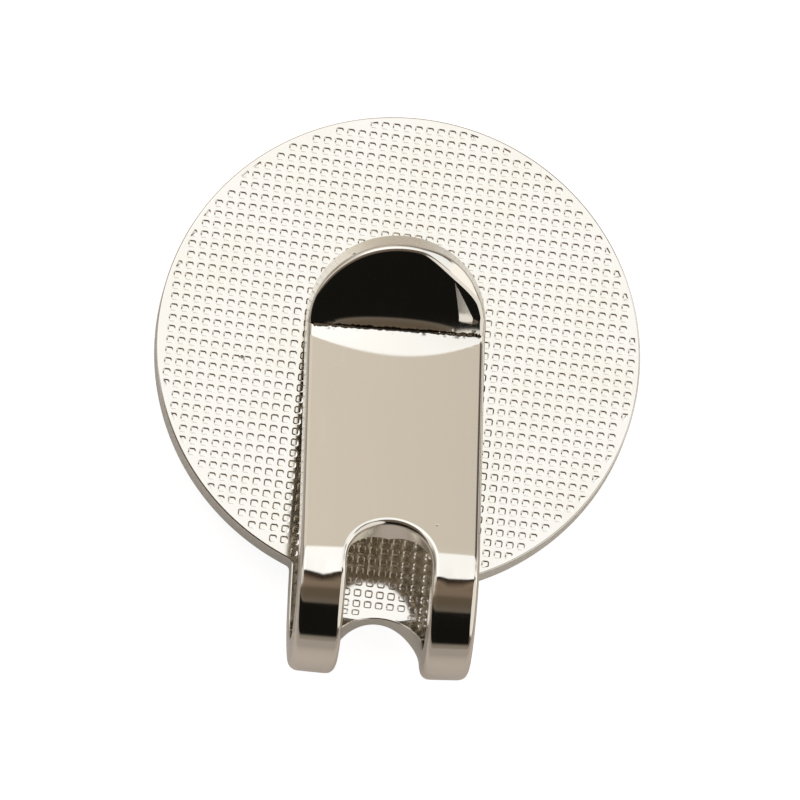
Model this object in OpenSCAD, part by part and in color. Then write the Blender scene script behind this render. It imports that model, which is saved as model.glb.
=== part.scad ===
// Golf hat clip with a magnetic ball marker, lying marker face down.
// Millimetres. Origin: centre of the marker's front face. +Z towards the clip's back,
// +Y towards the tongue's free tip, +X across the tongue.

/* [Clip disc] */
// Diameter of the clip's round plate
disc_d = 25; // [24.8:0.1:26]
// Thickness of the metal, in the plate and in the tongue
metal_t = 1.6; // [1.5:0.05:1.8]

/* [Marker seat] */
// Depth of the shallow seat that locates the marker
seat_depth = 0.2; // [0.1:0.05:0.25]
// Radial clearance between the marker and the seat's lip
seat_clearance = 0.1; // [0.05:0.05:0.15]
// Diameter of the holding magnet
magnet_d = 10; // [8:1:12]
// Thickness of the holding magnet
magnet_t = 1; // [0.8:0.1:1]
// Radial gap between the magnet and its pocket
magnet_gap = 0.05; // [0.02:0.01:0.1]
// Thickness of the glue under the magnet
glue_t = 0.05; // [0.03:0.01:0.08]

/* [Tongue] */
// Width of the tongue
tongue_w = 9.2; // [8.5:0.1:10]
// Sideways offset of the tongue from the disc's centre line
tongue_shift = -0.3; // [-0.5:0.05:0.5]
// Outer radius of the U-bend
bend_r = 4.25; // [4:0.05:4.5]
// Distance of the U-bend's centre from the disc's centre
bend_reach = 13.65; // [13.2:0.05:14]
// Angle at which the tongue slants back towards the disc
strap_slope = 20; // [18:0.5:21]
// Height of the crease's valley above the disc's back
crease_h = 2; // [1.9:0.05:2.4]
// Angle at which the free tip flares away from the disc
tip_flare = 37; // [30:1:42]

/* [Slot] */
// Width of the long slot through the U-bend
slot_w = 4.4; // [4:0.1:5]
// Distance along the strap from the crease to the slot's round end
slot_from_crease = 12; // [11.5:0.1:13]
// Distance from the disc's centre to the slot's round end in the tab
slot_from_centre = 14.3; // [14:0.1:14.8]

/* [Marker] */
// Diameter of the marker
marker_d = 24; // [23:0.5:24]
// Thickness of the marker
marker_t = 1.4; // [1.2:0.1:1.8]
// Width of the marker's raised rim
rim_w = 0.9; // [0.6:0.1:1.5]
// Width of the raised lines between the colours
line_w = 0.35; // [0.25:0.05:0.5]
// Depth of the struck cells below the rim
cell_depth = 0.45; // [0.3:0.05:0.6]
// How far the enamel lies below the rim
enamel_dip = 0.15; // [0.1:0.05:0.2]

/* [Marker picture] */
// Radius of the hill's crest line
hill_r = 20; // [15:1:30]
// Height of the hill's crest, from the marker's centre
hill_top = -2.5; // [-4:0.5:0]
// Sideways place of the flag pole
pole_x = -2.4; // [-4:0.1:0]
// Width of the flag pole
pole_w = 0.5; // [0.4:0.1:0.8]
// Height of the pole's top, from the marker's centre
pole_top = 8.2; // [7:0.1:9]
// Height of the pole's foot, from the marker's centre
pole_foot = -5.2; // [-6:0.1:-4]
// Length of the pennant, from the pole to its point
flag_l = 7.4; // [5:0.1:8]
// Height of the pennant at the pole
flag_h = 4.8; // [3:0.1:5]
// Diameter of the pictured ball
ball_d = 3.4; // [2:0.1:4]
// Sideways place of the pictured ball
ball_x = 3.6; // [2:0.1:5]
// Height of the pictured ball's centre, from the marker's centre
ball_y = -5.6; // [-6.5:0.1:-5]

/* [Hidden] */
$fn = 96;
eps = 0.01;

seat_z = marker_t;
front_z = seat_z - seat_depth;
back_z = front_z + metal_t;
seat_r = marker_d / 2 + seat_clearance;
pocket_depth = magnet_t + glue_t;
field_r = marker_d / 2 - rim_w;
enamel_t = cell_depth - enamel_dip;

// U-bend: tangent to the disc's front and back planes and to both sides of the strap
bend_y = -bend_reach;
bend_z = front_z + bend_r;
// crease: where the strap's outside reaches crease_h above the disc's back
crease_z = back_z + crease_h;
crease_y = bend_y + (bend_r - (crease_z - bend_z) * cos(strap_slope)) / sin(strap_slope);
strap_l = (crease_y - bend_y) * cos(strap_slope) - (crease_z - bend_z) * sin(strap_slope);
// how far the strap runs into the U-bend, and the tab into the disc
strap_root = 0.15;
tab_root = disc_d / 4;
// the slot's two cuts meet at the back of the U-bend, a little past its middle
strap_cut = bend_r * 1.3;
tab_cut = bend_r * 1.2;

// A point given along the strap (from the crease towards the bend) and above its outside
function on_strap(along, above) = [
    crease_y - along * cos(strap_slope) + above * sin(strap_slope),
    crease_z + along * sin(strap_slope) + above * cos(strap_slope)
];

// Side profiles are drawn in the Y-Z plane and extruded across the tongue's width
module across_tongue() {
    translate([tongue_shift - tongue_w / 2, 0, 0])
        rotate([90, 0, 90])
            linear_extrude(tongue_w) children();
}

module tab_profile() {
    translate([bend_y, front_z]) square([bend_reach - tab_root, metal_t]);
}

module bend_profile() {
    difference() {
        translate([bend_y, bend_z]) circle(bend_r);
        translate([bend_y, bend_z]) circle(bend_r - metal_t);
        // the open side, between the tab and the strap
        polygon([
            [bend_y, bend_z],
            [bend_y, bend_z - 2 * bend_r],
            [bend_y + 2 * bend_r, bend_z - 2 * bend_r],
            [bend_y + 2 * bend_r, bend_z + 2 * bend_r],
            on_strap(strap_l, bend_r)
        ]);
    }
}

// A hair thinner than the U-bend that it runs into, so that no two faces are tangent
module strap_profile() {
    polygon([
        on_strap(0, 0),
        on_strap(strap_l - strap_root, -eps),
        on_strap(strap_l + strap_root, -eps),
        on_strap(strap_l + strap_root, eps - metal_t),
        on_strap(strap_l - strap_root, eps - metal_t),
        on_strap(0, -metal_t)
    ]);
}

// Rounded underside of the crease, a sector about the sharp valley
module crease_profile() {
    reach = 3 * metal_t;
    intersection() {
        translate([crease_y, crease_z]) circle(metal_t);
        polygon([
            on_strap(0, 0),
            on_strap(0, -reach),
            [crease_y + reach * sin(tip_flare), crease_z - reach * cos(tip_flare)]
        ]);
    }
}

// Half-round free end, in its own flared plane
module tip() {
    translate([tongue_shift, crease_y, crease_z])
        rotate([tip_flare, 0, 0])
            translate([0, 0, -metal_t])
                linear_extrude(metal_t)
                    intersection() {
                        circle(tongue_w / 2);
                        translate([-tongue_w / 2, 0]) square([tongue_w, tongue_w / 2]);
                    }
}

module slot_end(depth) {
    linear_extrude(depth) {
        circle(slot_w / 2);
        translate([-slot_w / 2, -2 * bend_r]) square([slot_w, 2 * bend_r]);
    }
}

module slot() {
    strap_end = on_strap(slot_from_crease + slot_w / 2, -strap_cut);
    // through the strap, square to it
    translate([tongue_shift, strap_end[0], strap_end[1]])
        rotate([-strap_slope, 0, 0]) slot_end(strap_cut + 1);
    // through the tab, square to the disc
    translate([tongue_shift, -slot_from_centre - slot_w / 2, front_z - 1])
        slot_end(tab_cut + 1);
}

module tongue() {
    difference() {
        across_tongue() {
            tab_profile();
            bend_profile();
            strap_profile();
            crease_profile();
        }
        slot();
    }
    tip();
}

module clip_body() {
    color("#d8d1c3") difference() {
        union() {
            translate([0, 0, front_z]) cylinder(h = metal_t, d = disc_d);
            tongue();
        }
        translate([0, 0, front_z - eps]) cylinder(h = seat_depth + eps, r = seat_r);
        translate([0, 0, front_z]) cylinder(h = seat_depth + pocket_depth, r = magnet_d / 2 + magnet_gap);
    }
}

module magnet() {
    color("#b4b6b8") translate([0, 0, seat_z]) cylinder(h = magnet_t, d = magnet_d);
}

module magnet_glue() {
    color("#cfc7a0") translate([0, 0, seat_z + magnet_t])
        cylinder(h = glue_t, r = magnet_d / 2 + magnet_gap);
}

// The picture is drawn upright and turned so that its top is at the U-bend's side
module upright(depth) {
    linear_extrude(depth) mirror([0, 1]) children();
}

// Regions of the marker's picture
module hill(grow) {
    intersection() {
        circle(field_r);
        translate([0, hill_top - hill_r]) circle(hill_r + grow);
    }
}

module pole() {
    translate([pole_x - pole_w / 2, pole_foot]) square([pole_w, pole_top - pole_foot]);
}

// Pennant that points away from the pole, set in evenly from its outline
module pennant(inset) {
    side = sqrt(flag_l * flag_l + flag_h * flag_h / 4);
    in_r = flag_l * flag_h / (flag_h + 2 * side);
    k = 1 - inset / in_r;
    translate([pole_x + pole_w / 2 - line_w + in_r, pole_top - flag_h / 2])
        polygon([
            [-in_r * k, flag_h / 2 * k],
            [-in_r * k, -flag_h / 2 * k],
            [(flag_l - in_r) * k, 0]
        ]);
}

module picture_ball(grow) {
    translate([ball_x, ball_y]) circle(ball_d / 2 + grow);
}

module die_lines() {
    difference() {
        union() {
            difference() {
                hill(line_w);
                hill(0);
            }
            pole();
            pennant(0);
            picture_ball(line_w);
        }
        pennant(line_w);
        picture_ball(0);
    }
}

module marker_blank() {
    color("#c9c6bf") {
        difference() {
            cylinder(h = marker_t, d = marker_d);
            translate([0, 0, -eps]) cylinder(h = cell_depth + eps, r = field_r);
        }
        upright(cell_depth) die_lines();
    }
}

module enamel_fill() {
    translate([0, 0, enamel_dip]) upright(enamel_t) children();
}

module enamel_sky() {
    color("#1f4f8a") enamel_fill() difference() {
        circle(field_r);
        hill(line_w);
        pole();
        pennant(0);
    }
}

module enamel_green() {
    color("#2f7d3b") enamel_fill() difference() {
        hill(0);
        pole();
        picture_ball(line_w);
    }
}

module enamel_flag() {
    color("#b3262b") enamel_fill() pennant(line_w);
}

module enamel_ball() {
    color("#f2f0ea") enamel_fill() picture_ball(0);
}

clip_body();
magnet();
magnet_glue();
marker_blank();
enamel_sky();
enamel_green();
enamel_flag();
enamel_ball();
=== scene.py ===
"""Looks of a nickel plated golf hat clip that holds a magnetic ball marker.

The clip is one casting. Its skin is laid out as a flat pattern, a disc with a long tongue, and then
folded the way the metal is: round the U-bend, up the strap, over the crease and out along the tip.
Lengths are in millimetres until a piece is made, which turns them into metres.
"""

import math

import bpy
import numpy as np
from mathutils import Matrix, Vector
from mathutils.geometry import delaunay_2d_cdt


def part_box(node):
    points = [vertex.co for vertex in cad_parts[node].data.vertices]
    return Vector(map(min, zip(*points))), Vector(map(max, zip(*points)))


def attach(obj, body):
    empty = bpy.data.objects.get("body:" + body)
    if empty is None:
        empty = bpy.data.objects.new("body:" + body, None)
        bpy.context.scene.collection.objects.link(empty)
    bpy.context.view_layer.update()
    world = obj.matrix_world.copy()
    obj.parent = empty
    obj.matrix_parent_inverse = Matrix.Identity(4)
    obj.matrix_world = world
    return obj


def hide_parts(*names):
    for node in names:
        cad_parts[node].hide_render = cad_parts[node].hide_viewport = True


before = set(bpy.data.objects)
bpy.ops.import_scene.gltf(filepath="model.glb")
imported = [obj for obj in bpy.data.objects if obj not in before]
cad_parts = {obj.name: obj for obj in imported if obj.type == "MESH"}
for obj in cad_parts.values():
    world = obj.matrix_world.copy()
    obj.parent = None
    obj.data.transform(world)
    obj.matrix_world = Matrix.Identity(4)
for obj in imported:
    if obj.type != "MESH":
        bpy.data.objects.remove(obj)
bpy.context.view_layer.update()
MM = 0.001


# ---- sizes from the frame

def box_mm(node):
    low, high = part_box(node)
    return np.array(low) / MM, np.array(high) / MM


clip_low, clip_high = box_mm("clip_body")
marker_high = box_mm("marker_blank")[1]
magnet_high = box_mm("magnet")[1]

DISC_R = float(clip_high[0])
MARKER_R = float(marker_high[0])
MAGNET_R = float(magnet_high[0])
FRONT_Z = float(clip_low[2])
SEAT_Z = float(marker_high[2])
BEND_R = float(clip_high[2] - clip_low[2]) / 2
BEND_Y = float(clip_low[1]) + BEND_R
BEND_Z = FRONT_Z + BEND_R

METAL_T = 1.6
BACK_Z = FRONT_Z + METAL_T
TONGUE_W = 9.2
TONGUE_X = -0.3
STRAP_SLOPE = math.radians(20)
TIP_FLARE = math.radians(37)
CREASE_H = 2.0
SLOT_R = 2.2
SLOT_TAB_END = -14.3
SLOT_FROM_CREASE = 12.0
SEAT_GAP = 0.1
POCKET_GAP = 0.05
GLUE_T = 0.05


def put_in_scene(name, data):
    made = bpy.data.objects.new(name, data)
    bpy.context.scene.collection.objects.link(made)
    return made


# ---- camera

PHOTO_MM = 41.15
CAMERA_MM = 1200
SENSOR_MM = 36
camera_right = np.array([0.9949, 0.0534, 0.0848])
camera_up = np.array([-0.0734, 0.9645, 0.2535])
# The disc's centre lies this far right of and above the middle of the picture.
DISC_IN_VIEW = (-0.077, 2.52)


def add_camera():
    right = Vector(camera_right).normalized()
    up = Vector(camera_up - camera_up.dot(right) * np.array(right)).normalized()
    back = right.cross(up)
    middle = Vector((0, 0, BACK_Z)) - DISC_IN_VIEW[0] * right - DISC_IN_VIEW[1] * up
    data = bpy.data.cameras.new("camera")
    data.sensor_width = SENSOR_MM
    data.lens = SENSOR_MM * CAMERA_MM / PHOTO_MM
    data.clip_start, data.clip_end = 0.05, 50
    camera = put_in_scene("camera", data)
    place = Matrix((right, up, back)).transposed().to_4x4()
    place.translation = (middle + back * CAMERA_MM) * MM
    camera.matrix_world = place
    bpy.context.scene.camera = camera


add_camera()


# ---- building a piece

class Skin:
    """The points, normals and faces of one piece. Points that coincide are joined at the end."""

    def __init__(self):
        self.points, self.normals, self.satin = [], [], []
        self.faces, self.count = [], 0

    def add(self, points, normals, satin=0.0):
        """Adds points and returns their numbers. satin is 1 where the metal isn't polished."""
        self.points.append(points)
        self.normals.append(normed(normals))
        self.satin.append(np.full(len(points), satin))
        self.count += len(points)
        return np.arange(self.count - len(points), self.count)

    def band(self, a, b):
        """Quads between two rings of as many points."""
        for i in range(len(a)):
            j = (i + 1) % len(a)
            self.faces.append((a[i], a[j], b[j], b[i]))

    def bands(self, rings):
        for a, b in zip(rings, rings[1:]):
            self.band(a, b)

    def patch(self, ids):
        """Triangles, from rows of three numbers."""
        self.faces += [tuple(row) for row in ids]

    def make(self, name, body, material, replaced):
        points = np.concatenate(self.points)
        normals = np.concatenate(self.normals)
        _, first, joined = np.unique(
            np.round(points, 5), axis=0, return_index=True, return_inverse=True
        )
        joined = joined.ravel()
        kept = points[first]
        faces, corners = [], []
        for face in self.faces:
            ring, at = [], []
            for corner in face:
                if joined[corner] not in ring:
                    ring.append(int(joined[corner]))
                    at.append(corner)
            if len(ring) < 3:
                continue
            p = kept[ring]
            spin = sum(np.cross(p[i] - p[0], p[i + 1] - p[0]) for i in range(1, len(p) - 1))
            if spin @ normals[at].sum(0) < 0:
                ring.reverse()
                at.reverse()
            faces.append(ring)
            corners.extend(at)
        mesh = bpy.data.meshes.new(name)
        mesh.from_pydata((kept * MM).tolist(), [], faces)
        mesh.polygons.foreach_set("use_smooth", [True] * len(mesh.polygons))
        mesh.normals_split_custom_set(normals[corners].tolist())
        satin = mesh.attributes.new("satin", "FLOAT", "POINT")
        satin.data.foreach_set("value", np.concatenate(self.satin)[first])
        mesh.update()
        piece = put_in_scene(name, mesh)
        mesh.materials.append(material)
        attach(piece, body)
        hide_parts(replaced)
        return piece


def smooth(t):
    t = np.clip(t, 0, 1)
    return t * t * (3 - 2 * t)


def pairs(x, s):
    """Flat points from numbers across and along, either of which may be the same for all."""
    return np.stack(np.broadcast_arrays(np.asarray(x, float), s), -1)


def unit(angle):
    """Unit vectors in a plane."""
    return pairs(np.cos(angle), np.sin(angle))


def normed(vectors):
    return vectors / np.linalg.norm(vectors, axis=-1, keepdims=True)


def left_of(vectors):
    return np.stack([-vectors[..., 1], vectors[..., 0]], -1)


def to_next(loop):
    """The step from each point of a closed outline to the next."""
    return np.roll(loop, -1, axis=0) - loop


def lift(flat, third):
    """Flat vectors with a third number, the same for all or one for each."""
    return np.column_stack([flat, np.broadcast_to(third, len(flat))])


def inside(loop, points):
    """Which points lie inside a closed loop."""
    x, y = points[:, 0][:, None], points[:, 1][:, None]
    a, b = loop, np.roll(loop, -1, axis=0)
    crosses = (a[:, 1] > y) != (b[:, 1] > y)
    rise = np.where(b[:, 1] == a[:, 1], 1e-12, b[:, 1] - a[:, 1])
    at = a[:, 0] + (y - a[:, 1]) / rise * (b[:, 0] - a[:, 0])
    return (crosses & (x < at)).sum(1) % 2 == 1


def in_region(loops, points):
    """Which points have an odd number of closed loops round them."""
    return sum(inside(loop, points).astype(int) for loop in loops) % 2 == 1


def fill(loops, extra, cells=()):
    """Triangles of the region that the loops bound, through the extra points. Cells are convex
    outlines that stay open. The returned points come in the order given: loops, cells, extra."""
    points = np.concatenate([*loops, *cells, np.reshape(extra, (-1, 2))])
    edges, owner, start = [], np.full(len(points), -1), 0
    for k, loop in enumerate([*loops, *cells]):
        n = len(loop)
        edges += [(start + i, start + (i + 1) % n) for i in range(n)]
        if k >= len(loops):
            owner[start:start + n] = k
        start += n
    made = delaunay_2d_cdt([Vector(p) for p in points], edges, [], 0, 1e-7)
    back = np.array([ids[0] if ids else -1 for ids in made[3]])
    tri = back[np.array(made[2])]
    tri = tri[(tri >= 0).all(1)]
    middle = points[tri].mean(1)
    keep = in_region(loops, middle)
    own = owner[tri]
    keep &= ~((own[:, 0] >= 0) & (own[:, 0] == own[:, 1]) & (own[:, 1] == own[:, 2]))
    return points, tri[keep]


# ---- the fold

TURN = math.pi + STRAP_SLOPE
FLIP = STRAP_SLOPE + TIP_FLARE
INSIDE_R = BEND_R - METAL_T
MID_R = BEND_R - METAL_T / 2
VALLEY_R = 0.04
CREASE_MID_R = VALLEY_R + METAL_T / 2

crease_z = BACK_Z + CREASE_H
crease_y = BEND_Y + (BEND_R - (crease_z - BEND_Z) * math.cos(STRAP_SLOPE)) / math.sin(STRAP_SLOPE)
STRAP_L = (crease_y - BEND_Y) * math.cos(STRAP_SLOPE) - (crease_z - BEND_Z) * math.sin(STRAP_SLOPE)

# Stations along the flat pattern, which runs down from the disc's centre
S_BEND = BEND_Y
S_STRAP = S_BEND - MID_R * TURN
S_CREASE = S_STRAP - STRAP_L + VALLEY_R * math.tan(FLIP / 2)
S_TIP = S_CREASE - CREASE_MID_R * FLIP
S_SLOT_END = S_CREASE + SLOT_FROM_CREASE


def turned(s):
    """How far the sheet has turned at a station."""
    bend = np.clip((S_BEND - s) / MID_R, 0, TURN)
    crease = np.clip((S_CREASE - s) / CREASE_MID_R, 0, FLIP)
    return bend - crease


def across(theta):
    """The sheet's own axes: along it, towards the disc, and out of its inner face."""
    zero = np.zeros_like(theta)
    along = np.stack([zero, np.cos(theta), -np.sin(theta)], -1)
    out = np.stack([zero, np.sin(theta), np.cos(theta)], -1)
    return along, out


def fold(x, s, n):
    """Where a point of the flat pattern lies once folded. n is its height over the inner face."""
    x, s, n = np.broadcast_arrays(np.asarray(x, float), s, n)
    theta = turned(s)
    along, out = across(theta)
    along_end, out_end = across(np.array(TURN))
    out_tip = across(np.array(TURN - FLIP))[1]
    centre = np.array([0, BEND_Y, BEND_Z])
    strap_start = centre - INSIDE_R * out_end
    hinge = strap_start - (S_STRAP - S_CREASE) * along_end - (METAL_T + VALLEY_R) * out_end
    tip_start = hinge + (METAL_T + VALLEY_R) * out_tip
    flat = np.stack([np.zeros_like(s), s, BACK_Z + n], -1)
    bend = centre - (INSIDE_R - n)[..., None] * out
    strap = strap_start - (S_STRAP - s)[..., None] * along + n[..., None] * out
    crease = hinge + (METAL_T + VALLEY_R + n)[..., None] * out
    tip = tip_start - (S_TIP - s)[..., None] * along + n[..., None] * out
    for start, part in ((S_BEND, bend), (S_STRAP, strap), (S_CREASE, crease), (S_TIP, tip)):
        flat = np.where((s < start)[..., None], part, flat)
    return flat + np.stack([x, 0 * x, 0 * x], -1)


# ---- the soft valley at the crease

VALLEY_MID, VALLEY_LEFT, VALLEY_RIGHT = 0.29, 0.10, 0.035
VALLEY_DECAY = 0.8
STRAP_END_TILT = math.radians(-2)
TIP_TILT_MID, TIP_TILT_SIDE = math.radians(12), math.radians(31)


def cross_2d(a, b):
    return a[..., 0] * b[..., 1] - a[..., 1] * b[..., 0]


STRAP_DIR = unit(math.pi - STRAP_SLOPE)
TIP_DIR = unit(TIP_FLARE)
UP_DIR = (STRAP_DIR + TIP_DIR) / np.linalg.norm(STRAP_DIR + TIP_DIR)


def sideways(x):
    """-1 at the tongue's left side, 0 in its middle and 1 at its right side."""
    return np.clip((x - TONGUE_X) / (TONGUE_W / 2), -1, 1)


def valley_rise(x):
    """How far the polished metal fills the crease, most in the middle of the tongue."""
    u = sideways(x)
    side_rise = (VALLEY_LEFT + VALLEY_RIGHT + (VALLEY_RIGHT - VALLEY_LEFT) * u) / 2
    return VALLEY_MID + (side_rise - VALLEY_MID) * u**2


def valley_side(x, on_strap):
    """Per unit of the valley's rise: the bend's handle along a side, and its reach."""
    if on_strap:
        direction = STRAP_DIR
        leaving = unit(STRAP_END_TILT + 0 * x)
    else:
        direction = TIP_DIR
        leaving = -unit(TIP_TILT_MID + (TIP_TILT_SIDE - TIP_TILT_MID) * sideways(x) ** 2)
    handle = cross_2d(UP_DIR, leaving) / cross_2d(direction, leaving)
    run = cross_2d(direction, UP_DIR) / cross_2d(direction, leaving)
    return handle, handle + run


def valley(x, s):
    """The shift of the outside face from its folded place, near the crease."""
    rise = valley_rise(x)
    shift = np.zeros(np.shape(x) + (3,))
    for direction, on_strap, d in ((STRAP_DIR, True, s - S_CREASE), (TIP_DIR, False, S_TIP - s)):
        handle, reach = valley_side(x, on_strap)
        t = np.clip(d / (reach * rise), 0, 1)[..., None]
        top = rise[..., None] * UP_DIR
        bow = (rise * handle)[..., None] * direction
        end = (rise * reach)[..., None] * direction
        curve = (1 - t) ** 2 * top + 2 * (1 - t) * t * bow + t * t * end
        on = (d >= 0) & (d < reach * rise)
        shift[..., 1:] = np.where(on[..., None], curve - t * end, shift[..., 1:])
    middle = (s < S_CREASE) & (s > S_TIP)
    shift[..., 1:] = np.where(middle[..., None], rise[..., None] * UP_DIR, shift[..., 1:])
    return shift


# A flat worn into the tip by its right side, a narrow triangle that points away from the crease
DENT_LOW, DENT_HIGH = 0.90, 2.90
DENT_LEFT, DENT_LEAN, DENT_WIDTH, DENT_SLOPE = 2.42, 0.42, 0.72, 0.115
DENT_END, DENT_RETURN = 0.40, 0.8
# Wear where the strap turns into the bend: a wave across each leg, and more on the right leg
WAVE_AT, WAVE_HEIGHT, WAVE_REACH = math.radians(182), 0.022, 0.70
WAVE_OFFSET, WAVE_TILT, WAVE_FINE, WAVE_FINE_TURNS = -1.2, -0.15, 0.3, 7
LEAN_AT, LEAN_WEAR, LEAN_HALF, LEAN_FADE = math.radians(188), 0.055, 1.2, 6.0
CROWN = 0.011


def dent_edges(up_tip):
    """Left edge and width of the worn flat, at a distance from the crease."""
    share = np.clip((DENT_HIGH - up_tip) / (DENT_HIGH - DENT_LOW), 0, 1)
    return DENT_LEFT + DENT_LEAN * share, DENT_WIDTH * share


def polish(x, s):
    """How far hand polishing has worn the tongue's outside face: it is crowned a little, has a
    flat by the tip's right side, and is uneven where the strap turns into the bend."""
    crown = CROWN / 2 * (x - TONGUE_X) ** 2 * np.clip((S_BEND - s) / 2, 0, 1)
    up_tip = S_TIP - s
    left, width = dent_edges(up_tip)
    past = np.clip((x - left - width) / DENT_RETURN, 0, 1)
    flat = DENT_SLOPE * (np.clip(x - left, 0, width) - width * past)
    flat = flat * smooth((up_tip - DENT_LOW + DENT_END) / DENT_END)
    window = smooth(1 - np.abs(S_BEND - MID_R * WAVE_AT - s) / WAVE_REACH)
    leg_w = TONGUE_W / 2 - SLOT_R
    across_leg = (np.abs(x - TONGUE_X) - SLOT_R) / leg_w
    ripple = WAVE_OFFSET + WAVE_TILT * x - np.cos(2 * math.pi * across_leg)
    ripple = ripple + WAVE_FINE * np.sin(WAVE_FINE_TURNS * x + 1)
    past_top = S_BEND - MID_R * LEAN_AT - s
    lean = smooth(0.5 - past_top / (2 * LEAN_HALF)) * smooth((S_BEND - s) / LEAN_FADE)
    return crown + flat + WAVE_HEIGHT * ripple * window + LEAN_WEAR * sideways(x) * lean


def place(x, s, n):
    """fold(), with the soft valley, which fades through the metal's thickness."""
    x, s, n = np.broadcast_arrays(np.asarray(x, float), s, n)
    fade = np.clip(1 - (n + METAL_T) / VALLEY_DECAY, 0, 1)
    return fold(x, s, n + fade * polish(x, s)) + fade[..., None] * valley(x, s)


def outside_axes(x, s, side):
    """Axes on the outside face: across, along and out of the inner face. side is +1 to look
    towards the disc for the slope at a station, -1 to look towards the tip."""
    step = 1e-4
    x, s = np.broadcast_arrays(np.asarray(x, float), np.asarray(s, float))
    here = place(x, s, -METAL_T)
    ex = (place(x + step, s, -METAL_T) - place(x - step, s, -METAL_T)) / (2 * step)
    es = (place(x, s + side * step, -METAL_T) - here) / (side * step)
    along, out = across(turned(s))
    crushed = ((s < S_CREASE - 1e-9) & (s > S_TIP + 1e-9))[..., None]
    es = normed(np.where(crushed, along, es))
    ex = normed(ex - (ex * es).sum(-1, keepdims=True) * es)
    return ex, es, np.cross(ex, es)


SOFT_START, SOFT_REACH = 0.8, 1.5


def inner_axes(s):
    """Axes on the inner face, which starts to turn into the bend a little late and softly."""
    s = np.asarray(s, float)
    past = S_BEND - s
    late = SOFT_START * np.exp(-(past / SOFT_REACH) ** 2) * (past > 0)
    along, out = across(turned(s + late))
    ex = np.zeros_like(along)
    ex[..., 0] = 1
    return ex, along, out


def point_normal(axes, local):
    ex, es, en = axes
    return local[..., :1] * ex + local[..., 1:2] * es + local[..., 2:] * en


# ---- outlines of the flat pattern

ROOT_R = 0.3
ROW_BEND = MID_R * math.radians(3)
ROW_FLAT = 0.45
ROW_CREASE = 0.12
ROW_CREASE_REACH = 1.6
STEP_DISC = 0.35
STEP_ROUND = 0.2
LEFT = TONGUE_X - TONGUE_W / 2
RIGHT = TONGUE_X + TONGUE_W / 2


def spaced(a, b, step):
    return np.linspace(a, b, max(2, int(round(abs(b - a) / step)) + 1))


def arc(centre, radius, start, end, step, outward=1):
    """Points and outward normals along an arc."""
    count = max(3, int(round(radius * abs(end - start) / step)) + 1)
    normal = unit(np.linspace(start, end, count))
    return np.asarray(centre) + radius * normal, outward * normal


def stations(top, bottom):
    """Rows along the tongue's straight sides, closer together where the metal turns."""
    marks = [
        (S_BEND, ROW_FLAT), (S_STRAP, ROW_BEND), (S_CREASE + ROW_CREASE_REACH, ROW_FLAT),
        (S_CREASE, ROW_CREASE), (S_TIP, ROW_CREASE),
    ]
    rows, here = [top], top
    for mark, step in [*marks, (bottom, ROW_FLAT)]:
        mark = max(mark, bottom)
        if here - mark > 1e-6:
            rows += list(spaced(here, mark, step)[1:])
            here = mark
    return np.array(rows)


def side(x, rows, normal_x):
    return pairs(x, rows), pairs(normal_x, 0 * rows)


def joined_loop(parts):
    """One closed loop from pieces that meet end to end."""
    points, normals = [], []
    for p, n in parts:
        if points and np.allclose(points[-1][-1], p[0], atol=1e-6):
            p, n = p[1:], n[1:]
        points.append(p)
        normals.append(n)
    points, normals = np.concatenate(points), np.concatenate(normals)
    if np.allclose(points[0], points[-1], atol=1e-6):
        points, normals = points[:-1], normals[:-1]
    return points, normals


def pattern_outline():
    """The disc, the two sides of the tongue and its half-round tip, counter-clockwise."""
    centres, turns = [], []
    for x in (RIGHT + ROOT_R, LEFT - ROOT_R):
        y = -math.sqrt((DISC_R + ROOT_R) ** 2 - x * x)
        centres.append((x, y))
        turns.append(math.atan2(y, x))
    step = STEP_ROUND / 2
    return joined_loop([
        arc((0, 0), DISC_R, turns[0], turns[1] + 2 * math.pi, STEP_DISC),
        # left root fillet, down the left side, round the tip, up the right side, right fillet
        arc(centres[1], ROOT_R, turns[1] + math.pi, 0, step, -1),
        side(LEFT, stations(centres[1][1], S_TIP), -1),
        arc((TONGUE_X, S_TIP), TONGUE_W / 2, math.pi, 2 * math.pi, STEP_ROUND),
        side(RIGHT, stations(centres[0][1], S_TIP)[::-1], 1),
        arc(centres[0], ROOT_R, math.pi, turns[0] + math.pi, step, -1),
    ])


# The slot's end in the tab is cut square to the disc, so the bend's curve moves it on each face
SLOT_SHIFT_OUT, SLOT_SHIFT_IN = 0.12, -0.20
# The slot's end in the strap opens up towards the inner face
SLOT_DRAFT = 0.35


def pattern_slot():
    """The long slot on the outside face and on the inner face, clockwise, and its normals, which
    point into the opening."""
    top, bottom = SLOT_TAB_END - SLOT_R, S_SLOT_END + SLOT_R
    rows = stations(top, bottom)
    step = STEP_ROUND / 1.5
    outer, normals = joined_loop([
        arc((TONGUE_X, top), SLOT_R, math.pi, 0, step, -1),
        side(TONGUE_X + SLOT_R, rows, -1),
        arc((TONGUE_X, bottom), SLOT_R, 0, -math.pi, step, -1),
        side(TONGUE_X - SLOT_R, rows[::-1], 1),
    ])
    inner = outer.copy()
    tab_end = np.clip(-normals[:, 1], 0, 1) * (outer[:, 1] >= top)
    strap_end = outer[:, 1] <= bottom
    outer[:, 1] += SLOT_SHIFT_OUT * tab_end
    inner[:, 1] += SLOT_SHIFT_IN * tab_end
    corner = 2 * np.abs(normals[:, 0] * normals[:, 1]) * strap_end
    inner -= SLOT_DRAFT * corner[:, None] * normals
    return outer, inner, normals


# ---- the clip's skin

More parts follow.
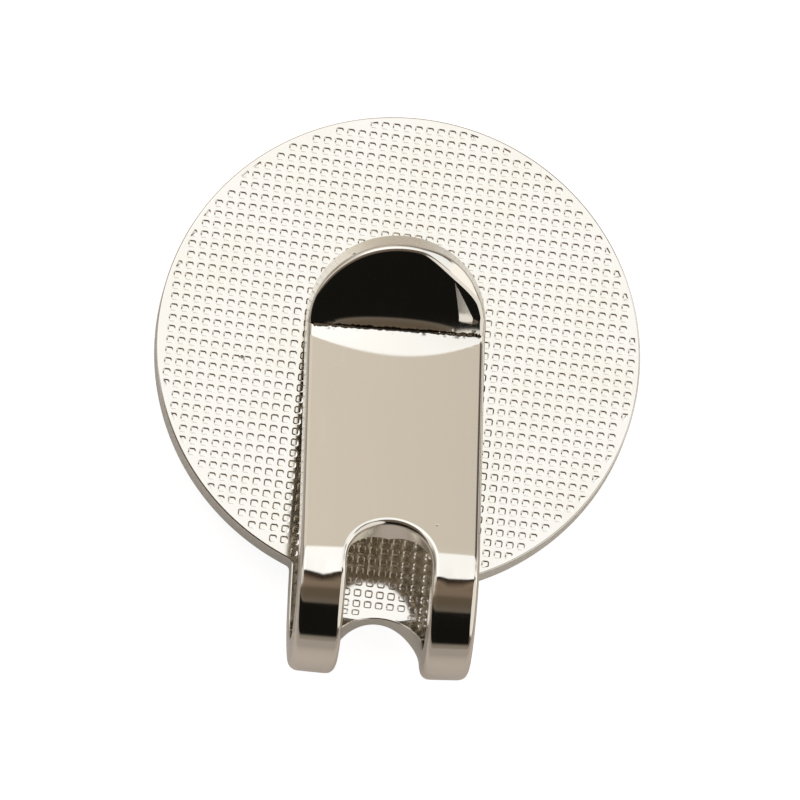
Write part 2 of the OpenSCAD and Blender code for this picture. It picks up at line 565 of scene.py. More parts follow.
OUTER_ANGLES = [math.radians(a) for a in (0, 18, 34, 45, 47.5, 50, 53, 62, 76, 90)]
INNER_ANGLES = [math.radians(a) for a in (0, 30, 60, 90)]
DISC_EDGE = 0.12
TONGUE_EDGE = 0.32
BEND_EDGE = 0.16
INNER_EDGE = 0.09
# Where the rounding grows on the tab, and where round the bend it is fullest
EDGE_START, EDGE_REACH = 1.4, 2.0
FULL_RISE, FULL_FALL, FULL_TURN = 3, 2, 2.0
SATIN_FROM = math.radians(60)
# A flat that polishing has left on the tip's right shoulder, between two angles round the tip
SHOULDER_W = 0.47
SHOULDER_FROM, SHOULDER_TO = math.radians(23), math.radians(78)
SHOULDER_LOW, SHOULDER_HIGH = math.radians(45), math.radians(53)


def edge_radius(points):
    """Rounding of the outside edge: small on the disc, fuller along the tongue and fullest where
    the bend sticks out."""
    past = S_BEND - points[:, 1]
    along = smooth((past + EDGE_START) / EDGE_REACH)
    full = smooth(past / FULL_RISE) * smooth((MID_R * FULL_TURN - past) / FULL_FALL)
    return DISC_EDGE + (TONGUE_EDGE - DISC_EDGE) * along + BEND_EDGE * full


def shoulder(points):
    """Width of the flat on the tip's shoulder."""
    round_tip = np.arctan2(S_TIP - points[:, 1], points[:, 0] - TONGUE_X)
    t = (round_tip - SHOULDER_FROM) / (SHOULDER_TO - SHOULDER_FROM)
    on = (points[:, 1] < S_TIP) & (t > 0) & (t < 1)
    return np.where(on, SHOULDER_W * np.sin(math.pi * np.clip(t, 0, 1)) ** 1.2, 0)


def outside_ring(points, normals, inset, depth, angle):
    """One ring of the outside edge's rounding, placed and with its normals. angle is 0 on the
    face and a right angle on the wall."""
    p = points - inset[:, None] * normals
    axes = outside_axes(p[:, 0], p[:, 1], 1)
    local = lift(normals * math.sin(angle), -math.cos(angle))
    return place(p[:, 0], p[:, 1], -METAL_T + depth), point_normal(axes, local)


def add_edge(skin, outer, inner, normals):
    """The rounded wall between the outside and the inner face. Returns the rings that border the
    two faces, as flat points and numbers."""
    radius, flat = edge_radius(outer), shoulder(outer)
    lean = (SHOULDER_LOW + SHOULDER_HIGH) / 2
    run, drop = math.cos(lean), math.sin(lean)
    rings = []
    for a in OUTER_ANGLES:
        passed = smooth((a - SHOULDER_LOW) / (SHOULDER_HIGH - SHOULDER_LOW))
        inset = radius * (1 - math.sin(a)) + flat * run * (1 - passed)
        depth = radius * (1 - math.cos(a)) + flat * drop * passed
        satin = 1.0 if a > SATIN_FROM else 0.0
        rings.append(skin.add(*outside_ring(outer, normals, inset, depth, a), satin))
    for a in INNER_ANGLES:
        inset = INNER_EDGE * (1 - math.cos(a))
        depth = INNER_EDGE * (1 - math.sin(a))
        p = inner - inset * normals
        local = lift(normals * math.cos(a), math.sin(a))
        satin = 1.0 if a < SATIN_FROM else 0.0
        rings.append(skin.add(
            place(p[:, 0], p[:, 1], -depth), point_normal(inner_axes(p[:, 1]), local), satin
        ))
    skin.bands(rings)
    outer_flat = outer - (radius + flat * run)[:, None] * normals
    return outer_flat, rings[0], inner - INNER_EDGE * normals, rings[-1]


# Waffle of small square pits on the inner face
PITCH = 0.5785
TWIST = math.radians(-2.9)
PHASE = (-0.195, -0.285)
PIT_HALF = 0.205
PIT_CORNER = 0.075
# Inset, depth and tilt of each ring of a pit's wall
PIT_RINGS = ((0.0, 0.0, 0), (0.018, 0.003, 20), (0.060, 0.018, 20), (0.080, 0.022, 0))
RIM_MARGIN = 0.24
SIDE_MARGIN = 0.13
SMALLEST_PIT = 0.13
# The pits below this place belong to the tongue
TONGUE_FROM = -10


def pit_outline(centre):
    """A square with cut corners, in the waffle's own direction, counter-clockwise."""
    h, c = PIT_HALF, PIT_HALF - PIT_CORNER
    corners = [(h, -c), (h, c), (c, h), (-c, h), (-h, c), (-h, -c), (-c, -h), (c, -h)]
    return centre + np.array(corners) @ [unit(TWIST), left_of(unit(TWIST))]


def cut_to_disc(loop, radius):
    """Keeps the part of a convex outline that lies inside the disc's plain margin."""
    height = loop @ normed(loop.mean(0)) - radius
    if (height <= 0).all():
        return loop
    kept = []
    for i, p in enumerate(loop):
        j = (i + 1) % len(loop)
        if height[i] <= 0:
            kept.append(p)
        if (height[i] <= 0) != (height[j] <= 0):
            t = height[i] / (height[i] - height[j])
            kept.append(p + t * (loop[j] - p))
    return np.array(kept) if len(kept) > 2 else None


def miters(loop):
    """For each corner of a convex outline: the direction into it, as long as a unit inset needs."""
    left = left_of(normed(to_next(loop)))
    before = np.roll(left, 1, axis=0)
    return (left + before) / (1 + (left * before).sum(1))[:, None]


def in_tongue(loop):
    """Whether an outline lies on the tongue's inner face, clear of its sides and its slot."""
    x, s = loop[:, 0] - TONGUE_X, loop[:, 1]
    half = TONGUE_W / 2 - SIDE_MARGIN
    tip = np.hypot(x, np.minimum(s - S_TIP, 0)) < half
    low = np.clip(s, S_SLOT_END + SLOT_R, SLOT_TAB_END - SLOT_R)
    clear = np.hypot(x, s - low) > SLOT_R + SIDE_MARGIN
    return bool((tip & clear & (abs(x) < half) & (s < TONGUE_FROM)).all())


def waffle():
    """The outlines of all pits, in the flat pattern."""
    u = PITCH * unit(TWIST)
    v = left_of(u)
    reach = int(2 * DISC_R / PITCH)
    far = int((DISC_R - S_TIP + TONGUE_W) / PITCH)
    found = []
    for j in range(-far, reach):
        for i in range(-reach, reach + 1):
            centre = PHASE + i * u + j * v
            loop = pit_outline(centre)
            if not in_tongue(loop):
                if np.hypot(*centre) >= DISC_R:
                    continue
                loop = cut_to_disc(loop, DISC_R - RIM_MARGIN)
                if loop is None or np.ptp(loop @ normed(centre)) < 2 * SMALLEST_PIT:
                    continue
            found.append(loop)
    return found


def add_inner_face(skin, outline, outline_ids, slot, slot_ids):
    pits = waffle()
    points, triangles = fill([outline, slot], [], pits)
    ids = np.full(len(points), -1)
    ids[:len(outline)] = outline_ids
    ids[len(outline):len(outline) + len(slot)] = slot_ids
    start = len(outline) + len(slot)
    for loop in pits:
        push = miters(loop)
        inward = normed(push)
        rings = []
        for inset, depth, tilt in PIT_RINGS:
            p = loop + inset * push
            a = math.radians(tilt)
            local = lift(inward * math.sin(a), math.cos(a))
            rings.append(skin.add(
                fold(p[:, 0], p[:, 1], -depth), point_normal(inner_axes(p[:, 1]), local)
            ))
        ids[start:start + len(loop)] = rings[0]
        start += len(loop)
        skin.bands(rings)
        skin.faces.append(tuple(rings[-1]))
    skin.patch(ids[triangles])


def clear_of(border, points, gap):
    """The points that keep a distance from the vertices of a border."""
    away = np.linalg.norm(points[:, None] - border[None], axis=-1)
    return points[away.min(1) > gap]


def grid_points(loops, rows, columns, clear):
    """Points where rows and columns cross inside a region, a little clear of its edges."""
    points = np.stack(np.meshgrid(columns, rows), -1).reshape(-1, 2)
    points = points[in_region(loops, points)]
    return clear_of(np.concatenate(loops), points, clear)


# Spacing of the points inside the face, and how far they keep from its edges
GRID_X, GRID_CLEAR, CLOSE_CLEAR = 0.4, 0.12, 0.03
STRAP_GRID_END, TIP_GRID_START = 1.9, 1.5
VALLEY_ROWS = 8
DENT_ROWS, DENT_CLEAR, DENT_TOP_GAP = 24, 0.05, 0.05
# Half the distance between the two points of a pair on an edge of the worn flat
KINK = 0.012


def dent_points():
    """Rows of points across the worn flat, with a close pair on each of its edges."""
    rows = []
    low = spaced(DENT_LOW - DENT_END, DENT_LOW, DENT_END / 4)[:-1]
    for up_tip in [*low, *np.linspace(DENT_LOW, DENT_HIGH - DENT_TOP_GAP, DENT_ROWS)]:
        left, width = dent_edges(up_tip)
        right = left + width
        x = [left - KINK, left + KINK, (left + right) / 2, right - KINK, right + KINK]
        rows.append(pairs(np.unique(x), S_TIP - up_tip))
    return np.concatenate(rows)


def add_outside_face(skin, outline, outline_ids, slot, slot_ids, seat, seat_ids):
    """The disc's front, the bend's outside and the strap's face, up to the crease, and then the
    tip beyond it. The two meet in a row of points along the crease."""
    columns = spaced(LEFT, RIGHT, GRID_X)[1:-1]
    order = np.arange(len(outline))
    strap_part = order[outline[:, 1] >= S_CREASE - 1e-6]
    tip_part = order[outline[:, 1] <= S_TIP + 1e-6]
    jump = np.nonzero(np.diff(strap_part) > 1)[0]
    if len(jump):
        strap_part = np.roll(strap_part, -(jump[0] + 1))
    for part, s_row, on_strap in ((strap_part, S_CREASE, True), (tip_part, S_TIP, False)):
        direction = 1 if on_strap else -1
        ends_left = outline[part[-1], 0] < outline[part[0], 0]
        row_x = columns if ends_left else columns[::-1]
        crease_row = pairs(row_x, s_row)
        loop = np.concatenate([outline[part], crease_row])
        reach = valley_side(columns, on_strap)[1] * valley_rise(columns)
        bowl = np.concatenate([
            pairs(columns, s_row + direction * reach * k / VALLEY_ROWS)
            for k in range(1, VALLEY_ROWS + 1)
        ])
        if on_strap:
            loops, hole_ids = [loop, slot, seat], [slot_ids, seat_ids]
            rows = stations(-DISC_R, S_CREASE + STRAP_GRID_END)
            extra = grid_points(loops, rows, columns, GRID_CLEAR)
        else:
            loops, hole_ids = [loop], []
            rows = np.arange(S_TIP - TIP_GRID_START, S_TIP - TONGUE_W / 2, -GRID_X)
            extra = grid_points(loops, rows, columns, GRID_CLEAR)
            dent = dent_points()
            dent = clear_of(loop, dent[inside(loop, dent)], DENT_CLEAR)
            extra = np.concatenate([clear_of(dent, extra, GRID_CLEAR), dent])
        bowl = bowl[inside(loop, bowl)]
        bowl = clear_of(np.concatenate([extra, loop]), bowl, CLOSE_CLEAR)
        extra = np.concatenate([extra, bowl])
        points, triangles = fill(loops, extra)
        new = np.concatenate([crease_row, extra])
        axes = outside_axes(new[:, 0], new[:, 1], direction)
        made = skin.add(place(new[:, 0], new[:, 1], -METAL_T), -axes[2])
        row_ids, extra_ids = made[:len(crease_row)], made[len(crease_row):]
        ids = np.concatenate([outline_ids[part], row_ids, *hole_ids, extra_ids])
        skin.patch(ids[triangles])


CIRCLE = 224


def circle(radius):
    return radius * unit(np.arange(CIRCLE) / CIRCLE * 2 * math.pi)


def lathe(skin, profile):
    """Rings from stops of radius, height and the normal's outward and upward parts. A None
    starts a new surface, with a sharp edge. Returns the first and the last ring."""
    rings = []
    for stop in profile:
        if stop is None:
            rings.append(None)
            continue
        radius, z, out, up = stop
        rings.append(skin.add(lift(circle(radius), z), lift(circle(1) * out, up)))
    for a, b in zip(rings, rings[1:]):
        if a is not None and b is not None:
            skin.band(a, b)
    return rings[0], rings[-1]


def rounded(radius, z, r, out, up, steps=3):
    """Stops of a quarter-round edge, from the level face to the wall. out is +1 on an outer edge
    and -1 on a hole's; up is the face's normal."""
    stops = []
    for a in np.linspace(0, math.pi / 2, steps + 1):
        inset, depth = r * (1 - math.sin(a)), r * (1 - math.cos(a))
        stops.append((radius - out * inset, z - up * depth, out * math.sin(a), up * math.cos(a)))
    return stops


SEAT_LIP = 0.05


def add_seat(skin):
    """The lip, the marker's seat and the magnet's pocket. Returns the lip's outer ring."""
    seat_r = MARKER_R + SEAT_GAP
    pocket_r = MAGNET_R + POCKET_GAP
    pocket_z = float(magnet_high[2]) + GLUE_T
    lip, last = lathe(skin, [
        *rounded(seat_r, FRONT_Z, SEAT_LIP, -1, -1), (seat_r, SEAT_Z, -1, 0),
        None, (seat_r, SEAT_Z, 0, -1),
        *rounded(pocket_r, SEAT_Z, SEAT_LIP, -1, -1), (pocket_r, pocket_z, -1, 0),
        None, (pocket_r, pocket_z, 0, -1),
    ])
    skin.faces.append(tuple(last))
    return circle(seat_r + SEAT_LIP), lip


def build_clip(material):
    skin = Skin()
    outline, outline_n = pattern_outline()
    slot_outer, slot_inner, slot_n = pattern_slot()
    out_flat, out_ids, in_flat, in_ids = add_edge(skin, outline, outline, outline_n)
    slot_out, slot_out_ids, slot_in, slot_in_ids = add_edge(skin, slot_outer, slot_inner, slot_n)
    add_inner_face(skin, in_flat, in_ids, slot_in, slot_in_ids)
    lip, lip_ids = add_seat(skin)
    add_outside_face(skin, out_flat, out_ids, slot_out, slot_out_ids, lip, lip_ids)
    return skin.make("clip_casting", "clip", material, "clip_body")


# ---- magnet and glue

MAGNET_EDGE = 0.12
GLUE_EDGE = 0.02


def disc_piece(name, node, edge, body, material):
    """A disc with rounded edges, in the place of a round CAD node."""
    low, high = box_mm(node)
    radius = float(high[0])
    skin = Skin()
    top = rounded(radius, float(high[2]), edge, 1, 1)
    bottom = rounded(radius, float(low[2]), edge, 1, -1)
    first, last = lathe(skin, top + bottom[::-1])
    skin.faces += [tuple(first), tuple(last)]
    return skin.make(name, body, material, node)


# ---- struck marker and its enamel

CORNER_R, CORNER_STEP = 0.09, 0.3
LINE_EDGE = 0.06
RIM_EDGE = 0.22
BACK_EDGE = 0.15
LOOP_STEP = 0.3
SHARP = math.radians(25)


def front_loops(node):
    """Closed outlines of a node's lowest flat face, from its mesh."""
    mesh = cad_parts[node].data
    points = np.array([v.co for v in mesh.vertices]) / MM
    front = points[:, 2].min()
    key = [tuple(np.round(p, 4)) for p in points]
    follow = set()
    for face in mesh.polygons:
        ids = list(face.vertices)
        if np.abs(points[ids, 2] - front).max() > 1e-3:
            continue
        for a, b in zip(ids, ids[1:] + ids[:1]):
            if (key[b], key[a]) in follow:
                follow.remove((key[b], key[a]))
            else:
                follow.add((key[a], key[b]))
    after = dict(follow)
    loops = []
    while after:
        start = min(after)
        loop, here = [], start
        while here in after:
            loop.append(here[:2])
            here = after.pop(here)
        loops.append(np.array(loop, float))
    return sorted(loops, key=lambda loop: -np.ptp(loop[:, 0])), float(front)


def soften(loop):
    """A closed outline with its sharp corners rounded and its long sides divided."""
    step = normed(to_next(loop))
    corners = []
    for corner, before, after in zip(loop, np.roll(step, 1, axis=0), step):
        turn = math.atan2(cross_2d(before, after), before @ after)
        if abs(turn) < SHARP:
            corners.append(corner)
            continue
        start = corner - CORNER_R * math.tan(abs(turn) / 2) * before
        centre = start + CORNER_R * math.copysign(1, turn) * left_of(before)
        arm = start - centre
        for a in np.linspace(0, turn, max(3, int(abs(turn) / CORNER_STEP)) + 1):
            corners.append(centre + math.cos(a) * arm + math.sin(a) * left_of(arm))
    result = []
    for a, b in zip(corners, np.roll(corners, -1, axis=0)):
        parts = max(1, int(np.linalg.norm(b - a) / LOOP_STEP))
        result += [a + (b - a) * k / parts for k in range(parts)]
    return np.array(result)


def loop_normals(loop, loops):
    """Unit normals of an outline that point out of the region that the loops bound."""
    step = normed(to_next(loop))
    normals = -left_of(normed(step + np.roll(step, 1, axis=0)))
    probe = loop + 0.01 * normals
    return -normals if in_region(loops, probe).mean() > 0.5 else normals


def flat_points(skin, loop, z, up):
    return skin.add(lift(loop, z), lift(0 * loop, up))


def build_marker(material):
    """The struck blank: rim, raised lines with rounded edges, and the floors of the cells."""
    loops, front = front_loops("marker_blank")
    floor = float(box_mm("enamel_sky")[1][2])
    skin = Skin()
    rim_top, back_ring = lathe(skin, [
        *rounded(MARKER_R, front, RIM_EDGE, 1, -1, 5),
        *rounded(MARKER_R, SEAT_Z, BACK_EDGE, 1, 1, 4)[::-1],
    ])
    skin.faces.append(tuple(back_ring))
    cells = [soften(loop) for loop in loops[1:]]
    region = [circle(MARKER_R), *cells]
    top_loops, top_ids = [circle(MARKER_R - RIM_EDGE)], [rim_top]
    floor_loops, floor_ids = [], []
    for loop in cells:
        normals = loop_normals(loop, region)
        rings = []
        for a in np.linspace(0, math.pi / 2, 4):
            flat = loop - LINE_EDGE * (1 - math.sin(a)) * normals
            z = front + LINE_EDGE * (1 - math.cos(a))
            rings.append(skin.add(lift(flat, z), lift(normals * math.sin(a), -math.cos(a))))
        rings.append(skin.add(lift(loop, floor), lift(normals, 0)))
        skin.bands(rings)
        top_loops.append(loop - LINE_EDGE * normals)
        top_ids.append(rings[0])
        floor_loops.append(loop)
        floor_ids.append(flat_points(skin, loop, floor, -1))
    for flat_loops, ids in ((top_loops, top_ids), (floor_loops, floor_ids)):
        _, triangles = fill(flat_loops, [])
        skin.patch(np.concatenate(ids)[triangles])
    return skin.make("marker_blank_struck", "marker", material, "marker_blank")


MENISCUS = 0.06
MENISCUS_REACH = 0.10
POUR_STEP = 0.7
POUR_INSETS, POUR_CLEAR, POUR_GRID_CLEAR = (0.04, 0.1, 0.2, 0.4), 0.93, 0.5


def build_enamel(name, node, material):
    """A cell's enamel: it creeps up the walls round it and sags a little between them."""
    raw, level = front_loops(node)
    floor = float(box_mm(node)[1][2])
    loops = [soften(loop) for loop in raw]
    normals = [loop_normals(loop, loops) for loop in loops]
    border, border_n = np.concatenate(loops), np.concatenate(normals)
    extra = [np.zeros((0, 2))]
    for inset in POUR_INSETS:
        ring = border - inset * border_n
        extra.append(clear_of(border, ring, inset * POUR_CLEAR))
    low, high = border.min(0), border.max(0)
    columns, rows = spaced(low[0], high[0], POUR_STEP), spaced(low[1], high[1], POUR_STEP)
    if len(columns) > 2 and len(rows) > 2:
        extra.append(grid_points(loops, rows, columns, POUR_GRID_CLEAR))
    extra = np.concatenate(extra)
    extra = extra[in_region(loops, extra)]
    _, triangles = fill(loops, extra)
    points = np.concatenate([border, extra])
    reach = np.linalg.norm(points[:, None] - border[None], axis=-1)
    creep = MENISCUS * np.exp(-reach.min(1) / MENISCUS_REACH)
    slope = -(creep / MENISCUS_REACH)[:, None] * border_n[reach.argmin(1)]
    skin = Skin()
    top = skin.add(lift(points, level - creep), lift(slope, -1))
    skin.patch(top[triangles])
    bottoms = []
    for loop, normal in zip(loops, normals):
        upper = skin.add(lift(loop, level - MENISCUS), lift(normal, 0))
        lower = skin.add(lift(loop, floor), lift(normal, 0))
        skin.band(upper, lower)
        bottoms.append(flat_points(skin, loop, floor, 1))
    _, triangles = fill(loops, [])
    skin.patch(np.concatenate(bottoms)[triangles])
    return skin.make(name, "marker", material, node)


# ---- materials

def new_material(name):
    material = bpy.data.materials.new(name)
    material.use_nodes = True
    return material, material.node_tree, material.node_tree.nodes["Principled BSDF"]


class Nodes:
    """Short ways to add and join a material's nodes."""

    def __init__(self, tree):
        self.tree = tree
        self.place = self.add("ShaderNodeTexCoord").outputs["Object"]

    def add(self, kind, **values):
        made = self.tree.nodes.new(kind)
        for key, value in values.items():
            setattr(made, key, value)
        return made

    def feed(self, socket, value):
        if isinstance(value, bpy.types.NodeSocket):
            self.tree.links.new(value, socket)
        elif isinstance(value, tuple) and len(value) == 3 and socket.type == "RGBA":
            socket.default_value = (*value, 1)
        else:
            socket.default_value = value

    def math(self, operation, a, b=None):
        made = self.add("ShaderNodeMath", operation=operation)
        self.feed(made.inputs[0], a)
        if b is not None:
            self.feed(made.inputs[1], b)
        return made.outputs[0]

    def plus(self, a, b):
        return self.math("ADD", a, b)

    def minus(self, a, b):
        return self.math("SUBTRACT", a, b)

    def times(self, a, b):
        return self.math("MULTIPLY", a, b)

    def ramp(self, value, low, high, out_low=0.0, out_high=1.0):
        """Goes softly from one number to another while the value goes from low to high."""
        made = self.add("ShaderNodeMapRange", interpolation_type="SMOOTHSTEP")
        numbers = (value, low, high, out_low, out_high)
        for socket, number in zip(made.inputs[:5], numbers):
            self.feed(socket, number)
        return made.outputs[0]

    def mix(self, factor, a, b):
        made = self.add("ShaderNodeMix", data_type="RGBA")
        self.feed(made.inputs["Factor"], factor)
        self.feed(made.inputs[6], a)
        self.feed(made.inputs[7], b)
        return made.outputs[2]

    def split(self, vector):
        made = self.add("ShaderNodeSeparateXYZ")
        self.feed(made.inputs[0], vector)
        return made.outputs

    def stretched(self, scale):
        made = self.add("ShaderNodeMapping")
        self.feed(made.inputs["Vector"], self.place)
        made.inputs["Scale"].default_value = scale
        return made.outputs[0]

    def noise(self, vector, scale, detail=2.0, seed=0.0):
        made = self.add("ShaderNodeTexNoise", noise_dimensions="4D")
        for name, value in (("Vector", vector), ("Scale", scale), ("Detail", detail), ("W", seed)):
            self.feed(made.inputs[name], value)
        return made.outputs[0]

    def spots(self, vector, scale, size, seed):
        """1 in small scattered spots, 0 elsewhere."""
        made = self.add("ShaderNodeTexVoronoi", voronoi_dimensions="4D")
        for name, value in (("Vector", vector), ("Scale", scale), ("W", seed)):
            self.feed(made.inputs[name], value)
        return self.ramp(made.outputs["Distance"], size, size * 0.5)

    def bump(self, shader, height, strength, depth_mm):
        made = self.add("ShaderNodeBump")
        made.inputs["Strength"].default_value = strength
        made.inputs["Distance"].default_value = depth_mm * MM
        self.feed(made.inputs["Height"], height)
        self.feed(shader.inputs["Normal"], made.outputs[0])


def nickel(name, colour, rough, satin_rough=0.24, seed=1.0, crease=False, turned=False):
    """Bright nickel plate over a casting: fine polishing lines, faint cloudiness in the plate,
    a few specks, and a duller skin where the wheel didn't reach."""
    material, tree, shader = new_material(name)
    nodes = Nodes(tree)
    clouds = nodes.noise(nodes.place, 260, 3, seed)
    fine = nodes.noise(nodes.place, 2600, 3, seed + 3)
    lines = nodes.noise(nodes.stretched((5200, 260, 260)), 1, 2, seed + 5)
    if turned:
        lines = turning_marks(nodes, seed)
    satin = nodes.add("ShaderNodeAttribute", attribute_name="satin").outputs["Fac"]
    specks = nodes.spots(nodes.place, 700, 0.085, seed + 7)
    pits = specks
    if crease:
        # With crease: painted shade along the crease's bottom, and real casting pits beside it
        line, dots = crease_shade_and_pits(nodes, seed)
        pits = nodes.math("MAXIMUM", specks, dots)
    dull = nodes.ramp(satin, 0, 1, rough, satin_rough)
    cloudy = nodes.ramp(clouds, 0.35, 0.7, -0.012, 0.02)
    hairs = nodes.ramp(lines, 0.55, 0.75, 0, 0.035)
    roughness = nodes.plus(nodes.plus(dull, cloudy), hairs)
    roughness = nodes.plus(roughness, nodes.times(pits, 0.25))
    warm = tuple(c * f for c, f in zip(colour, (0.995, 0.985, 0.965)))
    tone = nodes.mix(nodes.ramp(clouds, 0.4, 0.68), colour, warm)
    tone = nodes.mix(pits, tone, tuple(c * 0.32 for c in colour))
    if crease:
        # Painted shade: a near-black line along the bottom of the crease
        tone = nodes.mix(line, tone, CREASE_SHADE_TONE)
    nodes.feed(shader.inputs["Base Color"], tone)
    nodes.feed(shader.inputs["Roughness"], roughness)
    shader.inputs["Metallic"].default_value = 1
    height = nodes.plus(nodes.times(fine, 0.25), nodes.times(lines, 0.5))
    height = nodes.minus(height, nodes.times(pits, 6.0))
    nodes.bump(shader, height, 0.25, 0.004)
    return material


def turning_marks(nodes, seed):
    """Fine rings round the middle, as a lathe or a spun polishing pad leaves them."""
    flat = nodes.add("ShaderNodeVectorMath", operation="MULTIPLY")
    nodes.feed(flat.inputs[0], nodes.place)
    flat.inputs[1].default_value = (1, 1, 0)
    radius = nodes.add("ShaderNodeVectorMath", operation="LENGTH")
    nodes.feed(radius.inputs[0], flat.outputs[0])
    along = nodes.add("ShaderNodeCombineXYZ")
    nodes.feed(along.inputs[0], nodes.times(radius.outputs["Value"], 5200.0))
    return nodes.noise(along.outputs[0], 1, 3, seed + 5)


CREASE_BAND = 0.30
# Colour of the painted shade along the crease's bottom
CREASE_SHADE_TONE = (0.035, 0.028, 0.020)


def crease_shade_and_pits(nodes, seed):
    """A dark line of painted shade along the bottom of the crease, and casting pits by it."""
    x, y, z = nodes.split(nodes.place)
    side = nodes.minus(x, TONGUE_X * MM)
    side = nodes.math("DIVIDE", side, TONGUE_W / 2 * MM)
    rise = nodes.times(side, (VALLEY_RIGHT - VALLEY_LEFT) / 2 * MM)
    rise = nodes.plus(rise, ((VALLEY_LEFT + VALLEY_RIGHT) / 2 - VALLEY_MID) * MM)
    rise = nodes.times(rise, nodes.times(side, side))
    rise = nodes.plus(rise, VALLEY_MID * MM)
    away = []
    for value, start, share in ((y, crease_y, UP_DIR[0]), (z, crease_z, UP_DIR[1])):
        line = nodes.plus(nodes.times(rise, float(share)), float(start) * MM)
        away.append(nodes.math("POWER", nodes.minus(value, line), 2.0))
    away = nodes.math("SQRT", nodes.plus(*away))
    rough = nodes.noise(nodes.place, 4200, 3, seed + 9)
    ragged = nodes.plus(away, nodes.times(rough, -0.25 * MM))
    # The painted shade line: dark close to the crease's bottom, with a ragged edge
    line = nodes.ramp(ragged, -0.005 * MM, -0.035 * MM)
    on_tongue = nodes.ramp(nodes.math("ABSOLUTE", side), 1.06, 1.02)
    line = nodes.times(line, on_tongue)
    band = nodes.ramp(away, CREASE_BAND * MM, CREASE_BAND * MM * 0.5)
    dots = nodes.spots(nodes.place, 2800, 0.5, seed + 11)
    where = nodes.ramp(nodes.noise(nodes.place, 900, 2, seed + 13), 0.46, 0.53)
    dots = nodes.times(nodes.times(dots, where), band)
    dots = nodes.times(dots, on_tongue)
    return line, dots


def enamel(name, colour, seed=2.0):
    """Hard glossy enamel: even colour with a faint marbling, dust under the gloss, a wavy skin."""
    material, tree, shader = new_material(name)
    nodes = Nodes(tree)
    marbling = nodes.noise(nodes.place, 700, 4, seed)
    deep = tuple(c * 0.88 for c in colour)
    tone = nodes.mix(nodes.ramp(marbling, 0.35, 0.65), colour, deep)
    dust = nodes.spots(nodes.place, 1500, 0.07, seed + 2)
    tone = nodes.mix(dust, tone, tuple(min(1.0, c * 1.5 + 0.02) for c in colour))
    nodes.feed(shader.inputs["Base Color"], tone)
    nodes.feed(shader.inputs["Roughness"], nodes.ramp(marbling, 0.3, 0.7, 0.10, 0.19))
    shader.inputs["Coat Weight"].default_value = 0.8
    shader.inputs["Coat Roughness"].default_value = 0.04
    shader.inputs["Coat IOR"].default_value = 1.5
    nodes.bump(shader, nodes.noise(nodes.place, 450, 2, seed + 5), 0.35, 0.01)
    return material


def resin(name):
    """Hardened glue: amber, a little cloudy, with small bubbles."""
    material, tree, shader = new_material(name)
    nodes = Nodes(tree)
    clouds = nodes.noise(nodes.place, 900, 3, 4.0)
    bubbles = nodes.spots(nodes.place, 2200, 0.2, 6.0)
    tone = nodes.mix(clouds, (0.62, 0.53, 0.30), (0.50, 0.40, 0.20))
    nodes.feed(shader.inputs["Base Color"], nodes.mix(bubbles, tone, (0.78, 0.72, 0.52)))
    nodes.feed(shader.inputs["Roughness"], nodes.ramp(clouds, 0.3, 0.7, 0.25, 0.45))
    nodes.bump(shader, clouds, 1.0, 0.01)
    return material


# ---- light and floor

FLOOR_M = 12
# Its tone next to the metal, a little away and further away, and where one turns into the next
FLOOR_TONE = (0.82, 0.785, 0.74)
FLOOR_MID = (0.74, 0.66, 0.60)
FLOOR_FAR = (0.50, 0.44, 0.385)
MID_REACH, FAR_REACH = (3, 6), (10, 40)
# Light that the floor gives by itself, to the camera and to the metal
FLOOR_LIFT = (0.88, 0.89, 0.905)
FLOOR_BOUNCE = 0.115
# Light that meets the floor sooner than this goes through, so the marker's face shows from below
FLOOR_SKIP = 0.7


def add_floor():
    """A pale floor that is clear from below. Reflections show it darker away from the object."""
    mesh = bpy.data.meshes.new("floor")
    corners = [(x * FLOOR_M, y * FLOOR_M, 0) for x, y in ((-1, -1), (1, -1), (1, 1), (-1, 1))]
    mesh.from_pydata(corners, [], [(0, 1, 2, 3)])
    floor = put_in_scene("floor", mesh)
    material, tree, shader = new_material("floor_white")
    nodes = Nodes(tree)
    path = nodes.add("ShaderNodeLightPath")
    length = path.outputs["Ray Length"]
    tone = FLOOR_TONE
    for tone_there, (start, end) in ((FLOOR_MID, MID_REACH), (FLOOR_FAR, FAR_REACH)):
        tone = nodes.mix(nodes.ramp(length, start * MM, end * MM), tone, tone_there)
    nodes.feed(shader.inputs["Base Color"], tone)
    shader.inputs["Roughness"].default_value = 0.9
    shader.inputs["Specular IOR Level"].default_value = 0
    glow = nodes.add("ShaderNodeEmission")
    glow.inputs["Color"].default_value = (*FLOOR_LIFT, 1)
    strength = nodes.ramp(path.outputs["Is Camera Ray"], 0, 1, FLOOR_BOUNCE, 1)
    nodes.feed(glow.inputs["Strength"], strength)
    lit = nodes.add("ShaderNodeAddShader")
    nodes.feed(lit.inputs[0], shader.outputs[0])
    nodes.feed(lit.inputs[1], glow.outputs[0])
    clear = nodes.add("ShaderNodeBsdfTransparent")
    near = nodes.math("LESS_THAN", length, FLOOR_SKIP * MM)
    back = nodes.add("ShaderNodeNewGeometry").outputs["Backfacing"]
    side_seen = nodes.add("ShaderNodeMixShader")
    nodes.feed(side_seen.inputs[0], nodes.math("MAXIMUM", back, near))
    nodes.feed(side_seen.inputs[1], lit.outputs[0])
    nodes.feed(side_seen.inputs[2], clear.outputs[0])
    nodes.feed(tree.nodes["Material Output"].inputs["Surface"], side_seen.outputs[0])
    mesh.materials.append(material)


